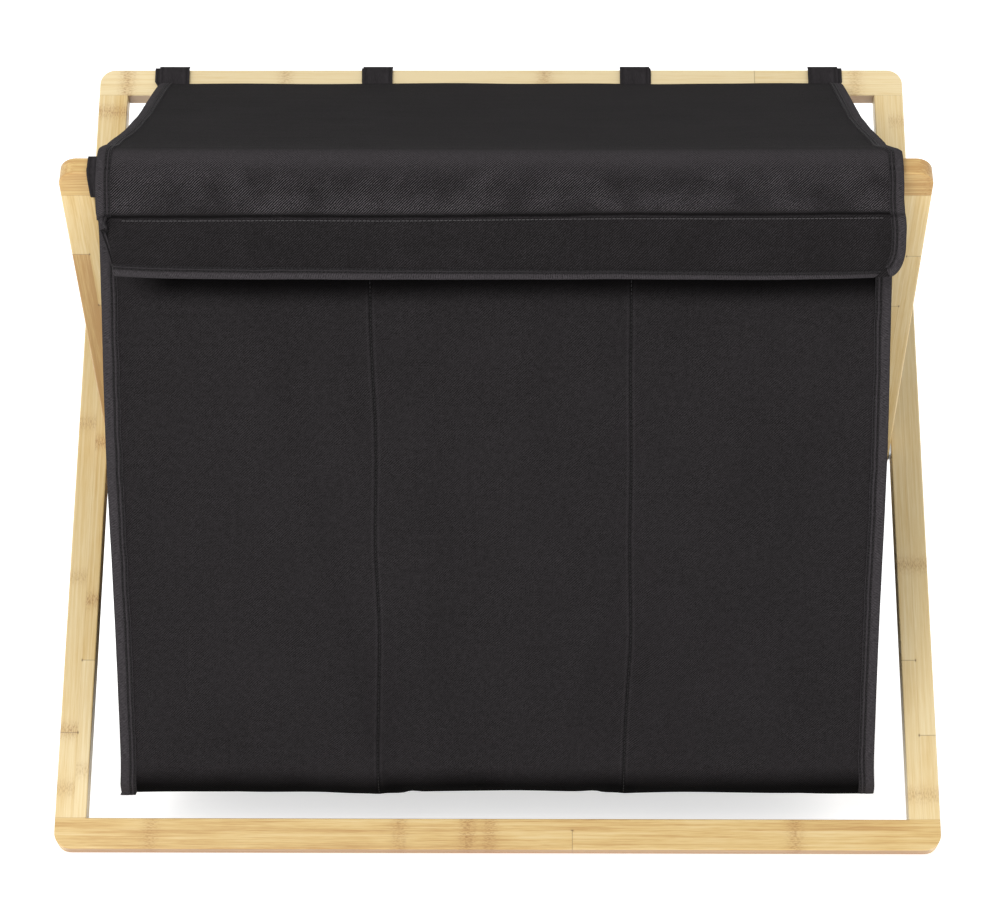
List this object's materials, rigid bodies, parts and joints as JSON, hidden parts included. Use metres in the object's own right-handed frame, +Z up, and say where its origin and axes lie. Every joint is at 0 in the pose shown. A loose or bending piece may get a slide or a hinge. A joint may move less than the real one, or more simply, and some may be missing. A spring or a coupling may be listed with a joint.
{
  "type": "laundry sorter",
  "caption": "Three-compartment fabric laundry sorter with a flap lid, hung between the top rails of two flat bamboo frames that cross as a folding X.",
  "frame": {"origin": "on the floor, below the pivot axis, at the middle of the width", "axes": "+X along the frame width, to the right of a person in front; -Y towards that person; +Z up"},
  "size_m": [0.73, 0.4757, 0.5868],
  "materials": {
    "bamboo": "clear lacquered bamboo, satin",
    "dowel_wood": "plain wood",
    "steel": "zinc plated",
    "bag_cloth": "black twill",
    "binding_tape": "black woven tape"
  },
  "bodies": {
    "outer_frame": {"back_loop_1": "bag_cloth", "back_loop_2": "bag_cloth", "back_loop_3": "bag_cloth", "back_loop_4": "bag_cloth", "bag_back_left_binding": "binding_tape", "bag_back_panel": "bag_cloth", "bag_back_right_binding": "binding_tape", "bag_bottom_panel": "bag_cloth", "bag_front_left_binding": "binding_tape", "bag_front_panel": "bag_cloth", "bag_front_right_binding": "binding_tape", "bag_left_divider": "bag_cloth", "bag_left_panel": "bag_cloth", "bag_right_divider": "bag_cloth", "bag_right_panel": "bag_cloth", "outer_bottom_rail": "bamboo", "outer_dowels": "dowel_wood", "outer_left_stile": "bamboo", "outer_right_stile": "bamboo", "outer_top_rail": "bamboo", "pivot_bolts": "steel", "pivot_nuts": "steel", "pivot_washers": "steel"},
    "inner_frame": {"front_loop_1": "bag_cloth", "front_loop_2": "bag_cloth", "front_loop_3": "bag_cloth", "front_loop_4": "bag_cloth", "inner_bottom_rail": "bamboo", "inner_dowels": "dowel_wood", "inner_left_stile": "bamboo", "inner_right_stile": "bamboo", "inner_top_rail": "bamboo"},
    "lid": {"flap_binding": "binding_tape", "flap_panel": "bag_cloth", "lid_left_binding": "binding_tape", "lid_panel": "bag_cloth", "lid_right_binding": "binding_tape"}
  },
  "joints": [
    {"name": "fold", "type": "hinge", "parent": "outer_frame", "child": "inner_frame", "pos_m": [0, 0, 0.28425], "axis": [-1, 0, 0], "range_deg": [0, 70], "deforming": ["bag_back_left_binding", "bag_back_panel", "bag_back_right_binding", "bag_bottom_panel", "bag_front_left_binding", "bag_front_panel", "bag_front_right_binding", "bag_left_divider", "bag_left_panel", "bag_right_divider", "bag_right_panel", "flap_binding", "flap_panel", "lid_left_binding", "lid_panel", "lid_right_binding"]},
    {"name": "lid_hinge", "type": "hinge", "parent": "outer_frame", "child": "lid", "pos_m": [0, 0.2105, 0.5728], "axis": [-1, 0, 0], "range_deg": [0, 105]}
  ]
}
